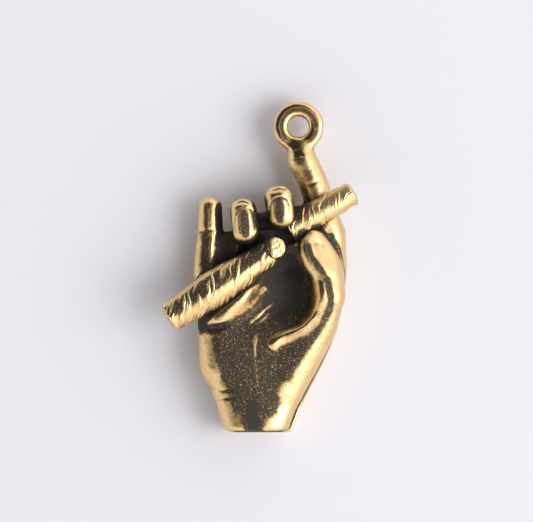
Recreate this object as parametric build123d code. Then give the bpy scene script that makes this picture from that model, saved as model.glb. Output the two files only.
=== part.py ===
from build123d import *

import os
from collections import namedtuple
from math import cos, radians, sin, tan

# A cast hand charm that holds two lengths of cigar and hangs from a loop on its index fingertip.
# It lies on its back: +X is the thumb side, +Y runs from the wrist to the loop, +Z leaves the palm.
# The origin is the centre of the loop's hole. All sizes are millimetres and degrees.

# Hanging loop, its stem and the solder that fillets it to the fingertip
loop_hole_d = 1.75
loop_outer_d = 4.3
loop_thickness = 1.5
loop_edge_round = 0.45
loop_lean_angle = -8.0
loop_sink_depth = 0.45
loop_stem_d = 1.1
loop_stem_depth = 1.2
solder_top_d = 1.5
solder_foot_d = 2.25
solder_length = 0.95
solder_lap = 0.2

# Pegs that join the digits to the hand
peg_d = 1.1
peg_length = 1.4
peg_clearance = 0.02
knuckle_swell_ratio = 1.05

# Index finger, stretched out: lengths and leans of its phalanges, and diameters at its joints
index_root_d = 2.7
index_first_length = 3.83
index_first_lean_angle = -17.5
index_joint_d = 2.5
index_tip_length = 2.71
index_tip_lean_angle = -22.8
index_tip_d = 2.35

# Middle and ring fingers, curled: a phalanx that rises a little, one that stands, and the tip
curl_rise_angle = 6.0
middle_root_d = 2.55
middle_root_height = 0.0
middle_first_length = 3.0
middle_first_lean_angle = -13.0
middle_bend_d = 2.4
middle_stand_length = 2.1
middle_stand_rise_angle = 93.0
middle_knuckle_d = 2.35
middle_tip_length = 1.65
middle_tip_lean_angle = -20.0
middle_tip_d = 2.15
ring_root_d = 2.5
ring_root_height = 0.0
ring_first_length = 2.15
ring_first_lean_angle = -12.0
ring_bend_d = 2.3
ring_stand_length = 2.0
ring_stand_rise_angle = 92.0
ring_knuckle_d = 2.25
ring_tip_length = 1.75
ring_tip_lean_angle = -14.0
ring_tip_d = 2.05

# Little finger, straight
little_root_d = 2.3
little_root_height = 0.3
little_first_length = 1.5
little_first_lean_angle = -1.0
little_joint_d = 2.15
little_tip_length = 1.15
little_tip_lean_angle = 2.0
little_tip_rise_angle = -3.0
little_tip_d = 1.95

# Thumb: its seat on the palm, the four lengths of its crest from the root to the tip, the pad beside
# them that faces the index finger, the flank between crest and pad, and the mound that carries it
thumb_seat_drop = 5.33
thumb_seat_inset = 0.44
thumb_seat_height = 1.9
thumb_root_d = 3.2
thumb_first_length = 1.76
thumb_first_lean_angle = -2.0
thumb_first_rise_angle = 8.0
thumb_joint_d = 2.25
thumb_crest_length = 1.65
thumb_crest_lean_angle = -36.0
thumb_crest_rise_angle = 10.5
thumb_crest_d = 1.85
thumb_nail_length = 1.18
thumb_nail_lean_angle = -21.5
thumb_nail_rise_angle = -2.5
thumb_nail_d = 1.55
thumb_tip_length = 1.1
thumb_tip_lean_angle = 18.0
thumb_tip_rise_angle = -16.0
thumb_tip_d = 1.15
thumb_swell_ratio = 1.0
thumb_flank_first_length = 2.03
thumb_flank_first_lean_angle = 4.0
thumb_flank_first_rise_angle = 1.5
thumb_flank_d = 2.35
thumb_flank_second_length = 1.47
thumb_flank_second_lean_angle = -27.5
thumb_flank_second_rise_angle = 4.0
thumb_flank_neck_d = 1.98
thumb_flank_tip_length = 1.21
thumb_flank_tip_lean_angle = -24.5
thumb_flank_tip_rise_angle = -2.5
thumb_flank_tip_d = 1.6
thumb_pad_first_length = 2.37
thumb_pad_first_lean_angle = 8.0
thumb_pad_first_rise_angle = -6.0
thumb_pad_d = 2.35
thumb_pad_second_length = 1.49
thumb_pad_second_lean_angle = -20.0
thumb_pad_neck_d = 1.95
thumb_pad_tip_length = 1.28
thumb_pad_tip_lean_angle = -25.5
thumb_pad_tip_d = 1.45
thenar_root_d = 3.2
thenar_first_length = 5.75
thenar_first_lean_angle = 28.5
thenar_first_rise_angle = 8.5
thenar_belly_d = 3.3
thenar_end_length = 2.85
thenar_end_lean_angle = 14.0
thenar_end_rise_angle = 15.0

# Palm and wrist: height above the wrist's cut end, sideways offset, width and thickness of each section
knuckle_line_tilt_angle = 3.0
knuckle_width = 12.6
knuckle_inset = 0.35
knuckle_thickness = 3.7
finger_spread_gap = 0.45
palm_length = 16.5
wrist_width = 5.45
wrist_thickness = 4.3
wrist_offset = -1.27
cuff_height = 3.0
cuff_width = 7.55
cuff_thickness = 4.5
cuff_offset = -1.17
heel_height = 5.6
heel_width = 10.0
heel_thickness = 4.9
heel_offset = -1.02
palm_height = 8.9
palm_width = 11.55
palm_thickness = 4.7
palm_offset = -0.32
bridge_height = 12.6
bridge_width = 12.1
bridge_thickness = 4.3
bridge_offset = -0.1
palm_sink_depth = 0.15
rest_depth = 2.2

# Mound on the little finger's side of the palm, the hollow of the palm with the shallow dip that runs
# out of it, the gap under the curled fingertips and the mould's seam
heel_mound_d = 3.2
palm_mound_d = 3.9
mound_height = 0.45
palm_hollow_d = 5.2
palm_hollow_top_d = 5.1
palm_hollow_wall = 0.4
palm_hollow_lean_angle = -88.0
palm_hollow_rise_angle = 27.0
palm_hollow_length = 2.0
palm_hollow_dip_angle = -8.5
palm_dip_first_length = 1.83
palm_dip_first_lean_angle = -130.0
palm_dip_first_rise_angle = -3.5
palm_dip_d = 3.85
palm_dip_end_length = 2.27
palm_dip_end_lean_angle = -122.0
palm_dip_end_rise_angle = 9.0
palm_dip_end_d = 3.35
finger_gap_d = 2.6
finger_gap_height = 2.3
finger_gap_offset = 0.6
finger_gap_start = 1.8
finger_gap_end = 8.2
finger_pocket_d = 2.3
finger_pocket_drop = 1.1
seam_offset_x = 0.3
seam_offset_y = -0.2

# Lower cigar length, bedded in the palm, with a filler core at its open end and a fold of flesh below
lower_cigar_length = 10.6
lower_cigar_tilt_angle = 33.2
lower_cigar_tail_d = 2.45
lower_cigar_belly_d = 3.3
lower_cigar_head_d = 2.15
lower_cigar_belly_distance = 4.6
lower_cigar_end_round = 0.2
lower_cigar_offset = -4.25
lower_cigar_drop = 4.15
lower_cigar_bed_depth = 1.25
filler_d = 1.6
filler_reach = 0.55
filler_depth = 1.5
filler_round = 0.35
fold_d = 1.8
fold_length = 6.6
fold_gap = 0.8
fold_offset = 0.6
fold_rise_angle = 2.0

# Upper cigar length, across the front of the index finger
upper_cigar_length = 6.5
upper_cigar_tilt_angle = 29.5
upper_cigar_near_d = 2.3
upper_cigar_far_d = 1.9
upper_cigar_end_round = 0.22
upper_cigar_cross_length = 2.0
upper_cigar_offset = -0.15
upper_cigar_bed_depth = 0.7

# Bars stand on their seat
stand_up = (Align.CENTER, Align.CENTER, Align.MIN)

# A phalanx leans from +Y towards +X, rises towards +Z and ends in a joint of a given diameter
Phalanx = namedtuple("Phalanx", "length lean rise end_d")
index_phalanges = [
    Phalanx(index_first_length, index_first_lean_angle, 0, index_joint_d),
    Phalanx(index_tip_length, index_tip_lean_angle, 0, index_tip_d),
]
middle_phalanges = [
    Phalanx(middle_first_length, middle_first_lean_angle, curl_rise_angle, middle_bend_d),
    Phalanx(middle_stand_length, 0, middle_stand_rise_angle, middle_knuckle_d),
    Phalanx(middle_tip_length, middle_tip_lean_angle, 180, middle_tip_d),
]
ring_phalanges = [
    Phalanx(ring_first_length, ring_first_lean_angle, curl_rise_angle, ring_bend_d),
    Phalanx(ring_stand_length, 0, ring_stand_rise_angle, ring_knuckle_d),
    Phalanx(ring_tip_length, ring_tip_lean_angle, 180, ring_tip_d),
]
little_phalanges = [
    Phalanx(little_first_length, little_first_lean_angle, 0, little_joint_d),
    Phalanx(little_tip_length, little_tip_lean_angle, little_tip_rise_angle, little_tip_d),
]
thumb_phalanges = [
    Phalanx(thumb_first_length, thumb_first_lean_angle, thumb_first_rise_angle, thumb_joint_d),
    Phalanx(thumb_crest_length, thumb_crest_lean_angle, thumb_crest_rise_angle, thumb_crest_d),
    Phalanx(thumb_nail_length, thumb_nail_lean_angle, thumb_nail_rise_angle, thumb_nail_d),
    Phalanx(thumb_tip_length, thumb_tip_lean_angle, thumb_tip_rise_angle, thumb_tip_d),
]
thumb_flank_phalanges = [
    Phalanx(
        thumb_flank_first_length,
        thumb_flank_first_lean_angle,
        thumb_flank_first_rise_angle,
        thumb_flank_d,
    ),
    Phalanx(
        thumb_flank_second_length,
        thumb_flank_second_lean_angle,
        thumb_flank_second_rise_angle,
        thumb_flank_neck_d,
    ),
    Phalanx(
        thumb_flank_tip_length,
        thumb_flank_tip_lean_angle,
        thumb_flank_tip_rise_angle,
        thumb_flank_tip_d,
    ),
]
thumb_pad_phalanges = [
    Phalanx(thumb_pad_first_length, thumb_pad_first_lean_angle, thumb_pad_first_rise_angle, thumb_pad_d),
    Phalanx(thumb_pad_second_length, thumb_pad_second_lean_angle, 0, thumb_pad_neck_d),
    Phalanx(thumb_pad_tip_length, thumb_pad_tip_lean_angle, 0, thumb_pad_tip_d),
]
thenar_phalanges = [
    Phalanx(thenar_first_length, thenar_first_lean_angle, thenar_first_rise_angle, thenar_belly_d),
    Phalanx(thenar_end_length, thenar_end_lean_angle, thenar_end_rise_angle, thumb_root_d),
]
palm_dip_phalanges = [
    Phalanx(palm_dip_first_length, palm_dip_first_lean_angle, palm_dip_first_rise_angle, palm_dip_d),
    Phalanx(palm_dip_end_length, palm_dip_end_lean_angle, palm_dip_end_rise_angle, palm_dip_end_d),
]


def heading(lean, rise):
    """Direction of a phalanx from its lean and its rise."""
    a, b = radians(lean), radians(rise)
    return Vector(sin(a) * cos(b), cos(a) * cos(b), sin(b))


def joints_from(root, phalanges):
    """Centres of a digit's joints, from its root to its tip."""
    centres = [Vector(root)]
    for bone in phalanges:
        centres.append(centres[-1] + heading(bone.lean, bone.rise) * bone.length)
    return centres


def reach(phalanges):
    """Vector from the first joint of a chain to its last."""
    return joints_from((0, 0, 0), phalanges)[-1]


def rod(start, end, start_d, end_d):
    """Round bar between two points, tapered where its ends differ."""
    axis = end - start
    seat = Plane(origin=start, z_dir=axis)
    if abs(start_d - end_d) < 1e-6:
        return seat * Cylinder(start_d / 2, axis.length, align=stand_up)
    return seat * Cone(start_d / 2, end_d / 2, axis.length, align=stand_up)


def beads(centres, sizes, pole, swell=1.0):
    """Chain of tapered bars through a list of centres, with a ball at each, its poles along pole."""
    bars = [
        rod(centres[i], centres[i + 1], sizes[i], sizes[i + 1])
        for i in range(len(centres) - 1)
    ]
    balls = [
        Plane(origin=centre, z_dir=pole) * Sphere(size / 2 * swell)
        for centre, size in zip(centres, sizes)
    ]
    return bars[0].fuse(*bars[1:], *balls)


def digit(root, root_d, phalanges, pole, swell=knuckle_swell_ratio):
    """Finger of tapered phalanges with a rounded knuckle at each joint."""
    sizes = [root_d] + [bone.end_d for bone in phalanges]
    return beads(joints_from(root, phalanges), sizes, pole, swell)


# Skeleton, hung from the loop at the origin
loop_centre = Vector(0, 0, 0)
loop_axis = heading(loop_lean_angle, 0)
index_tip = loop_centre - loop_axis * (loop_outer_d / 2 + index_tip_d / 2 - loop_sink_depth)
index_root = index_tip - reach(index_phalanges)

knuckle_normal = heading(-knuckle_line_tilt_angle, 0)
knuckle_plane = Plane(origin=index_root, z_dir=knuckle_normal)
knuckle_right = index_root.X + index_root_d / 2
knuckle_left = knuckle_right - knuckle_width
knuckle_middle_x = (knuckle_left + knuckle_right) / 2


def on_knuckle_line(x, z):
    """Point of the knuckle line at a given x, at height z."""
    return Vector(x, index_root.Y + (x - index_root.X) * tan(radians(knuckle_line_tilt_angle)), z)


little_x = knuckle_left + little_root_d / 2
finger_pitch = (index_root.X - finger_spread_gap - little_x) / 3
little_root = on_knuckle_line(little_x, little_root_height)
ring_root = on_knuckle_line(little_x + finger_pitch, ring_root_height)
middle_root = on_knuckle_line(little_x + 2 * finger_pitch, middle_root_height)
knuckle_middle = on_knuckle_line(knuckle_middle_x, 0)

thumb_root = index_root + Vector(-thumb_seat_inset, -thumb_seat_drop, thumb_seat_height)
thumb_normal = heading(thumb_first_lean_angle, thumb_first_rise_angle)
thumb_plane = Plane(origin=thumb_root, z_dir=thumb_normal)
thenar_root = thumb_root - reach(thenar_phalanges)

wrist_y = knuckle_middle.Y - palm_length


def peg(root, normal, spare=0.0):
    """Round peg from a digit's root into the hand, or its socket with spare room."""
    seat = Plane(origin=root, z_dir=-normal)
    return seat * Cylinder(peg_d / 2 + spare, peg_length + spare, align=stand_up)


def seated_digit(root, root_d, chains, seat_plane, normal, swell=knuckle_swell_ratio):
    """Digit of one or more chains from its root, cut flat on its seat, with the peg that enters the hand."""
    forms = [digit(root, root_d, phalanges, normal, swell) for phalanges in chains]
    flesh = forms[0]
    for form in forms[1:]:
        flesh = flesh.fuse(form)
    return split(flesh, seat_plane, Keep.TOP) + peg(root, normal)


def cigar_seat(length, middle, tilt):
    """Plane on a cigar's left end, with its normal along the cigar."""
    axis = heading(90 - tilt, 0)
    return Plane(origin=middle - axis * (length / 2), x_dir=(0, 0, 1), z_dir=axis)


def turned(seat, outline):
    """Solid turned about a seat's normal from a half outline drawn as radius and height."""
    return seat * revolve(Plane.XZ * make_face(outline), axis=Axis.Z)


# Lower cigar length and its filler, laid across the palm below the knuckle line
lower_middle = knuckle_middle + Vector(
    lower_cigar_offset,
    -lower_cigar_drop,
    bridge_thickness / 2 - palm_sink_depth - lower_cigar_bed_depth + lower_cigar_belly_d / 2,
)
lower_seat = cigar_seat(lower_cigar_length, lower_middle, lower_cigar_tilt_angle)
lower_head = (lower_cigar_head_d / 2, lower_cigar_length)
lower_tail = (lower_cigar_tail_d / 2, 0)
lower_belly = (lower_cigar_belly_d / 2, lower_cigar_belly_distance)
lower_core = Polyline(lower_head, (0, lower_cigar_length), (0, 0), lower_tail)
lower_cigar = turned(lower_seat, lower_core + ThreePointArc(lower_tail, lower_belly, lower_head))
lower_cigar = fillet(lower_cigar.edges().filter_by(GeomType.CIRCLE), lower_cigar_end_round)
filler_seat = lower_seat.offset(lower_cigar_length - filler_depth)
lower_cigar -= filler_seat * Cylinder(
    filler_d / 2 + peg_clearance, 2 * filler_depth, align=stand_up
)
filler = Cylinder(filler_d / 2, filler_depth + filler_reach, align=stand_up)
filler = filler_seat * fillet(filler.edges().group_by(Axis.Z)[-1], filler_round)

# Upper cigar length, laid across the index finger's first phalanx
upper_axis = heading(90 - upper_cigar_tilt_angle, 0)
upper_lift = index_root_d / 2 + upper_cigar_near_d / 2 - upper_cigar_bed_depth
upper_middle = (
    index_root
    + heading(index_first_lean_angle, 0) * upper_cigar_cross_length
    + upper_axis * upper_cigar_offset
    + Vector(0, 0, upper_lift)
)
upper_outline = Polyline(
    (0, 0),
    (upper_cigar_near_d / 2, 0),
    (upper_cigar_far_d / 2, upper_cigar_length),
    (0, upper_cigar_length),
    close=True,
)
upper_seat = cigar_seat(upper_cigar_length, upper_middle, upper_cigar_tilt_angle)
upper_cigar = turned(upper_seat, upper_outline)
upper_cigar = fillet(upper_cigar.edges().filter_by(GeomType.CIRCLE), upper_cigar_end_round)
upper_cigar = upper_cigar - lower_cigar - filler

# Hanging loop with the stem that goes into the index fingertip
loop = Cylinder(loop_outer_d / 2, loop_thickness)
loop = fillet(loop.edges().filter_by(GeomType.CIRCLE), loop_edge_round)
stem_end = index_tip - loop_axis * loop_stem_depth
loop += rod(loop_centre, stem_end, loop_stem_d, loop_stem_d)
loop -= Cylinder(loop_hole_d / 2, 2 * loop_thickness)
socket_d = loop_stem_d + 2 * peg_clearance
stem_socket = rod(loop_centre, stem_end - loop_axis * peg_clearance, socket_d, socket_d)

# Digits, each with its seat face and its peg
index_finger = seated_digit(
    index_root, index_root_d, [index_phalanges], knuckle_plane, knuckle_normal
)
middle_finger = seated_digit(
    middle_root, middle_root_d, [middle_phalanges], knuckle_plane, knuckle_normal
)
ring_finger = seated_digit(
    ring_root, ring_root_d, [ring_phalanges], knuckle_plane, knuckle_normal
)
little_finger = seated_digit(
    little_root, little_root_d, [little_phalanges], knuckle_plane, knuckle_normal
)
thumb = seated_digit(
    thumb_root,
    thumb_root_d,
    [thumb_phalanges, thumb_flank_phalanges, thumb_pad_phalanges],
    thumb_plane,
    thumb_normal,
    thumb_swell_ratio,
)

# Collar of solder that fillets the loop to the fingertip
solder_foot = loop_centre - loop_axis * (loop_outer_d / 2 + solder_lap)
solder_top = solder_foot + loop_axis * solder_length
solder = rod(solder_foot, solder_top, solder_foot_d, solder_top_d)
solder = solder - loop - index_finger - stem_socket

# Pieces that are pressed together give way in one order, so that each keeps a true seat
index_finger = index_finger - stem_socket - loop - upper_cigar
middle_finger = middle_finger - upper_cigar - lower_cigar - filler
ring_finger = ring_finger - lower_cigar
little_finger = little_finger - lower_cigar
thumb = thumb - upper_cigar - index_finger

# Sections of the hand: height, offset, width and thickness
over_top = knuckle_width * tan(radians(knuckle_line_tilt_angle))
stations = [
    (0, wrist_offset, wrist_width, wrist_thickness),
    (cuff_height, cuff_offset, cuff_width, cuff_thickness),
    (heel_height, heel_offset, heel_width, heel_thickness),
    (palm_height, palm_offset, palm_width, palm_thickness),
    (bridge_height, bridge_offset, bridge_width, bridge_thickness),
    (palm_length + over_top, 0, knuckle_width - 2 * knuckle_inset, knuckle_thickness),
]


def hand_blank(shift_x, shift_y):
    """Palm and wrist as one lofted form, from the wrist's cut end past the knuckle line."""
    sections = [
        Plane(
            origin=(knuckle_middle_x + offset + shift_x, wrist_y + height + shift_y, -palm_sink_depth),
            x_dir=(1, 0, 0),
            z_dir=(0, 1, 0),
        )
        * Ellipse(width / 2, thickness / 2)
        for height, offset, width, thickness in stations
    ]
    return loft(sections)


def left_mound(height, offset, width, mound_d):
    """Centre of the mound that touches the hand's left outline at a height."""
    return Vector(
        knuckle_middle_x + offset - width / 2 + mound_d / 2, wrist_y + height, mound_height
    )


digits = [index_finger, middle_finger, ring_finger, little_finger, thumb]
sockets = [
    peg(root, knuckle_normal, peg_clearance)
    for root in (index_root, middle_root, ring_root, little_root)
]
sockets.append(peg(thumb_root, thumb_normal, peg_clearance))

# Relief of the palm: the thumb's mound, the heel's mound, the fold under the cigar, the hollow with
# its dip and the gap that the curled fingertips hang over
thenar = digit(thenar_root, thenar_root_d, thenar_phalanges, thumb_normal)
thenar = split(thenar, thumb_plane, Keep.BOTTOM)
heel_mound = beads(
    [
        left_mound(heel_height, heel_offset, heel_width, heel_mound_d),
        left_mound(palm_height, palm_offset, palm_width, palm_mound_d),
    ],
    [heel_mound_d, palm_mound_d],
    knuckle_normal,
)
lower_axis = heading(90 - lower_cigar_tilt_angle, 0)
fold_side = heading(180 - lower_cigar_tilt_angle, 0)
fold_middle = (
    lower_middle
    + lower_axis * fold_offset
    + fold_side * (lower_cigar_belly_d / 2 + fold_gap)
)
fold_middle.Z = bridge_thickness / 2 - palm_sink_depth
fold_axis = heading(90 - lower_cigar_tilt_angle, fold_rise_angle)
fold_half = fold_axis * ((fold_length - fold_d) / 2)
fold = beads([fold_middle - fold_half, fold_middle + fold_half], [fold_d, fold_d], fold_axis)
hollow_reach = palm_hollow_d / 2 + peg_d / 2 + palm_hollow_wall
hollow_low = thumb_root + heading(palm_hollow_lean_angle, palm_hollow_rise_angle) * hollow_reach
hollow_high = hollow_low + heading(0, palm_hollow_dip_angle) * palm_hollow_length
hollow = beads([hollow_low, hollow_high], [palm_hollow_d, palm_hollow_top_d], knuckle_normal)
dip = digit(hollow_low, palm_hollow_d, palm_dip_phalanges, knuckle_normal)
pocket = (little_root + ring_root) * 0.5 - knuckle_normal * finger_pocket_drop
gap_centres = [pocket] + [
    lower_middle + lower_axis * along - fold_side * finger_gap_offset
    for along in (finger_gap_start, finger_gap_end)
]
for centre in gap_centres:
    centre.Z = finger_gap_height
finger_gap = beads(gap_centres, [finger_pocket_d, finger_gap_d, finger_gap_d], lower_axis)

# Palm half, above the seam
palm = split(hand_blank(0, 0).fuse(thenar, heel_mound, fold), knuckle_plane, Keep.BOTTOM)
palm = split(palm, Plane.XY, Keep.TOP)
palm_half = palm - hollow - dip - finger_gap
for piece in [*digits, *sockets, lower_cigar, filler, upper_cigar]:
    palm_half -= piece

# Back half, below the seam, cast a little to one side and flat where it rests
back = split(hand_blank(seam_offset_x, seam_offset_y), knuckle_plane, Keep.BOTTOM)
back = split(back, Plane.XY, Keep.BOTTOM)
back = split(back, Plane.XY.offset(-rest_depth), Keep.TOP)
back_half = back
for piece in [*digits, *sockets]:
    back_half -= piece

nodes = {
    "palm_half": palm_half,
    "back_half": back_half,
    "thumb": thumb,
    "index_finger": index_finger,
    "middle_finger": middle_finger,
    "ring_finger": ring_finger,
    "little_finger": little_finger,
    "lower_cigar": lower_cigar,
    "cigar_filler": filler,
    "upper_cigar": upper_cigar,
    "hanging_loop": loop,
    "loop_solder": solder,
}

os.makedirs("parts", exist_ok=True)
for name, shape in nodes.items():
    solids = shape.solids()
    print(name, len(solids), [round(solid.volume, 3) for solid in solids])
    export_step(shape, f"parts/{name}.step")
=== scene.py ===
"""Dresses the hand charm: an antiqued gold casting of a hand with two rolled cigars and a hanging loop.

Sizes are in millimetres in the part's own frame: the origin is the middle of the loop's hole, X points to
the thumb's side, Y from the wrist to the loop and Z out of the palm.
"""

import logging
import math
from dataclasses import dataclass, field
from enum import Enum
from functools import partial
from typing import Protocol

import bpy
import numpy as np
import openvdb
from mathutils import Matrix, Vector


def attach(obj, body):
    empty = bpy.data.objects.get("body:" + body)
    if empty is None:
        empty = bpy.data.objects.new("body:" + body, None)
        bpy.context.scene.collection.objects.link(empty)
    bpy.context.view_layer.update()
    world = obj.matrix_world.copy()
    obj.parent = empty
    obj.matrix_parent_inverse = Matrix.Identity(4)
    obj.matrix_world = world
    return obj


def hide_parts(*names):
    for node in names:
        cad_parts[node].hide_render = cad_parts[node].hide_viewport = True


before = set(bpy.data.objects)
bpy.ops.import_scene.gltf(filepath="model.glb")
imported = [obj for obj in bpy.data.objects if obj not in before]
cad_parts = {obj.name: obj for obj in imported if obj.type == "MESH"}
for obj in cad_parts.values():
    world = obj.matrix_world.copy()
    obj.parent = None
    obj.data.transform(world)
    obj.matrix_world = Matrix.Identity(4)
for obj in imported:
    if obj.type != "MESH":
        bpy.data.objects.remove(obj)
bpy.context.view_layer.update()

LOG = logging.getLogger("hand_charm")
MM = 0.001
FAR = 3.0
TINY = 1e-6
REST_Z = -2.2
BAND_STEPS = 3
MATH = "ShaderNodeMath"
VECTOR = "ShaderNodeVectorMath"
RANGE = "ShaderNodeMapRange"
NOISE = "ShaderNodeTexNoise"
XYZ = "ShaderNodeCombineXYZ"
PARTS = "ShaderNodeSeparateXYZ"
Point = tuple[float, float, float]
Flat = tuple[float, float]
Array = np.ndarray
Axes = tuple[Array, Array, Array]


class Slot(Enum):
    """The record's material slots."""

    HAND = "cast_gold_hand"
    LEAF = "cast_gold_leaf"
    LOOP = "polished_gold_loop"


# Small helpers


def linear(hex_colour: str) -> tuple[float, float, float, float]:
    """Turns an sRGB hex colour into linear values.

    Args:
        hex_colour: Six hex digits, such as "F0D9A5".

    Returns:
        Red, green, blue and an alpha of one.
    """
    parts = [int(hex_colour[i:i + 2], 16) / 255 for i in (0, 2, 4)]
    red, green, blue = (c / 12.92 if c <= 0.04045 else ((c + 0.055) / 1.055) ** 2.4 for c in parts)
    return red, green, blue, 1.0


def add_node(tree: bpy.types.NodeTree, kind: str, inputs: dict | tuple = (), **settings) -> bpy.types.Node:
    """Adds a node, sets its properties and fills its inputs.

    Args:
        tree: The tree that gets the node.
        kind: The node's type name.
        inputs: Values, output sockets or nodes (for their first output), by name or in the inputs' order.
        settings: The node's own properties.

    Returns:
        The new node.
    """
    node = tree.nodes.new(kind)
    for name, value in settings.items():
        setattr(node, name, value)
    for key, value in inputs.items() if isinstance(inputs, dict) else enumerate(inputs):
        value = value.outputs[0] if isinstance(value, bpy.types.Node) else value
        if isinstance(value, bpy.types.NodeSocket):
            tree.links.new(value, node.inputs[key])
        else:
            node.inputs[key].default_value = value
    return node


def put(name: str, data: bpy.types.ID) -> bpy.types.Object:
    """Puts a mesh, a lamp or a camera into the scene as a new object."""
    made = bpy.data.objects.new(name, data)
    bpy.context.scene.collection.objects.link(made)
    return made


def unit(vector: Point) -> Array:
    """Returns the vector at length one."""
    return np.array(vector, float) / np.linalg.norm(vector)


def ease(value: Array, start: float, end: float) -> Array:
    """Rises smoothly from 0 where a value is at start to 1 where it is at end."""
    t = np.clip((value - start) / (end - start), 0, 1)
    return t * t * (3 - 2 * t)


def soft_min(a: Array, b: Array, fillet: float) -> Array:
    """Joins two distance fields and fills the corner between them, as wide as the fillet."""
    t = np.clip(0.5 + 0.5 * (b - a) / fillet, 0, 1)
    return b + (a - b) * t - fillet * t * (1 - t)


def soft_max(a: Array, b: Array, fillet: float) -> Array:
    """Keeps what two distance fields share and rounds the edge between them, as wide as the fillet."""
    return -soft_min(-a, -b, fillet)


def arc(radius: float, end: float, count: int) -> tuple[Flat, ...]:
    """Returns the corners of an arc round the loop's hole, from +X to an angle in degrees."""
    angles = np.radians(np.linspace(0, end, count))
    return tuple(zip(radius * np.cos(angles), radius * np.sin(angles)))


def polyline_distance(x: Array, y: Array, points: tuple[Flat, ...]) -> tuple[Array, Array]:
    """Measures how far points of the XY plane are from a line with corners.

    Args:
        x: The points' X.
        y: The points' Y.
        points: The line's corners.

    Returns:
        The distance, and how far along the line the nearest place is, from 0 to 1.
    """
    best = np.full(np.broadcast_shapes(x.shape, y.shape), np.inf)
    along = np.zeros_like(best)
    count = len(points) - 1
    for k in range(count):
        (ax, ay), (bx, by) = points[k], points[k + 1]
        run_x, run_y = bx - ax, by - ay
        t = np.clip(((x - ax) * run_x + (y - ay) * run_y) / (run_x ** 2 + run_y ** 2), 0, 1)
        gap = np.hypot(x - ax - t * run_x, y - ay - t * run_y)
        along = np.where(gap < best, (k + t) / count, along)
        best = np.minimum(best, gap)
    return best, along


# The sculptor's forms, each a distance field


class Form(Protocol):
    """A shape that knows its box and its distance field."""

    def box(self) -> tuple[Array, Array]:
        """Returns the lowest and highest corner."""

    def distance(self, p: Axes) -> Array:
        """Returns the distance to the surface, below zero inside."""


@dataclass(frozen=True)
class Rod:
    """A round bar whose radius changes evenly along it."""

    start: Point
    end: Point
    start_radius: float
    end_radius: float

    def box(self) -> tuple[Array, Array]:
        """Returns the lowest and highest corner."""
        ends = np.array([self.start, self.end])
        reach = max(self.start_radius, self.end_radius)
        return ends.min(0) - reach, ends.max(0) + reach

    def distance(self, p: Axes) -> Array:
        """Returns the distance to the surface, below zero inside."""
        run = np.subtract(self.end, self.start)
        off = [c - s for c, s in zip(p, self.start)]
        t = np.clip(sum(o * r for o, r in zip(off, run)) / (run @ run), 0, 1)
        gap = np.sqrt(sum((o - t * r) ** 2 for o, r in zip(off, run)))
        return gap - (self.start_radius + t * (self.end_radius - self.start_radius))


@dataclass(frozen=True)
class Digit:
    """A finger, thumb or fold: a round form along a smooth curve through its joints."""

    joints: tuple[tuple[float, float, float, float], ...]
    spans: int = 4

    def bars(self) -> list[Rod]:
        """Returns short bars that follow the curve, each joint given by its place and its radius."""
        knots = np.array(self.joints)
        ends = np.vstack([2 * knots[0] - knots[1], knots, 2 * knots[-1] - knots[-2]])
        rows = []
        for k in range(len(knots) - 1):
            a, b, c, d = ends[k:k + 4]
            for t in np.arange(self.spans) / self.spans:
                bend = 2 * a - 5 * b + 4 * c - d + t * (3 * (b - c) + d - a)
                rows.append(b + 0.5 * t * (c - a + t * bend))
        rows.append(knots[-1])
        return [Rod(tuple(a[:3]), tuple(b[:3]), a[3], b[3]) for a, b in zip(rows, rows[1:])]

    def box(self) -> tuple[Array, Array]:
        """Returns the lowest and highest corner."""
        boxes = [bar.box() for bar in self.bars()]
        return np.min([b[0] for b in boxes], 0), np.max([b[1] for b in boxes], 0)

    def distance(self, p: Axes) -> Array:
        """Returns the distance to the surface, below zero inside."""
        bars = self.bars()
        joined = bars[0].distance(p)
        for bar in bars[1:]:
            joined = np.minimum(joined, bar.distance(p))
        return joined


@dataclass(frozen=True)
class Block:
    """A box with rounded edges that lies along a direction of the XY plane."""

    centre: Point
    lean: float
    half: Point
    rounding: float
    diagonal: float = 1.4

    def box(self) -> tuple[Array, Array]:
        """Returns the lowest and highest corner."""
        flat = max(self.half[:2]) * self.diagonal
        reach = np.array([flat, flat, self.half[2]])
        return self.centre - reach, self.centre + reach

    def distance(self, p: Axes) -> Array:
        """Returns the distance to the surface, below zero inside."""
        c, s = math.cos(math.radians(self.lean)), math.sin(math.radians(self.lean))
        x, y = p[0] - self.centre[0], p[1] - self.centre[1]
        off = (np.abs(c * x + s * y), np.abs(c * y - s * x), np.abs(p[2] - self.centre[2]))
        over = [o - h + self.rounding for o, h in zip(off, self.half)]
        outside = np.sqrt(sum(np.maximum(o, 0) ** 2 for o in over))
        inside = np.minimum(np.maximum(np.maximum(over[0], over[1]), over[2]), 0)
        return outside + inside - self.rounding


@dataclass(frozen=True)
class PalmSection:
    """A cross section of the palm: its height over the wrist, its middle, its width and its thickness."""

    height: float
    offset: float
    width: float
    thickness: float


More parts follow.
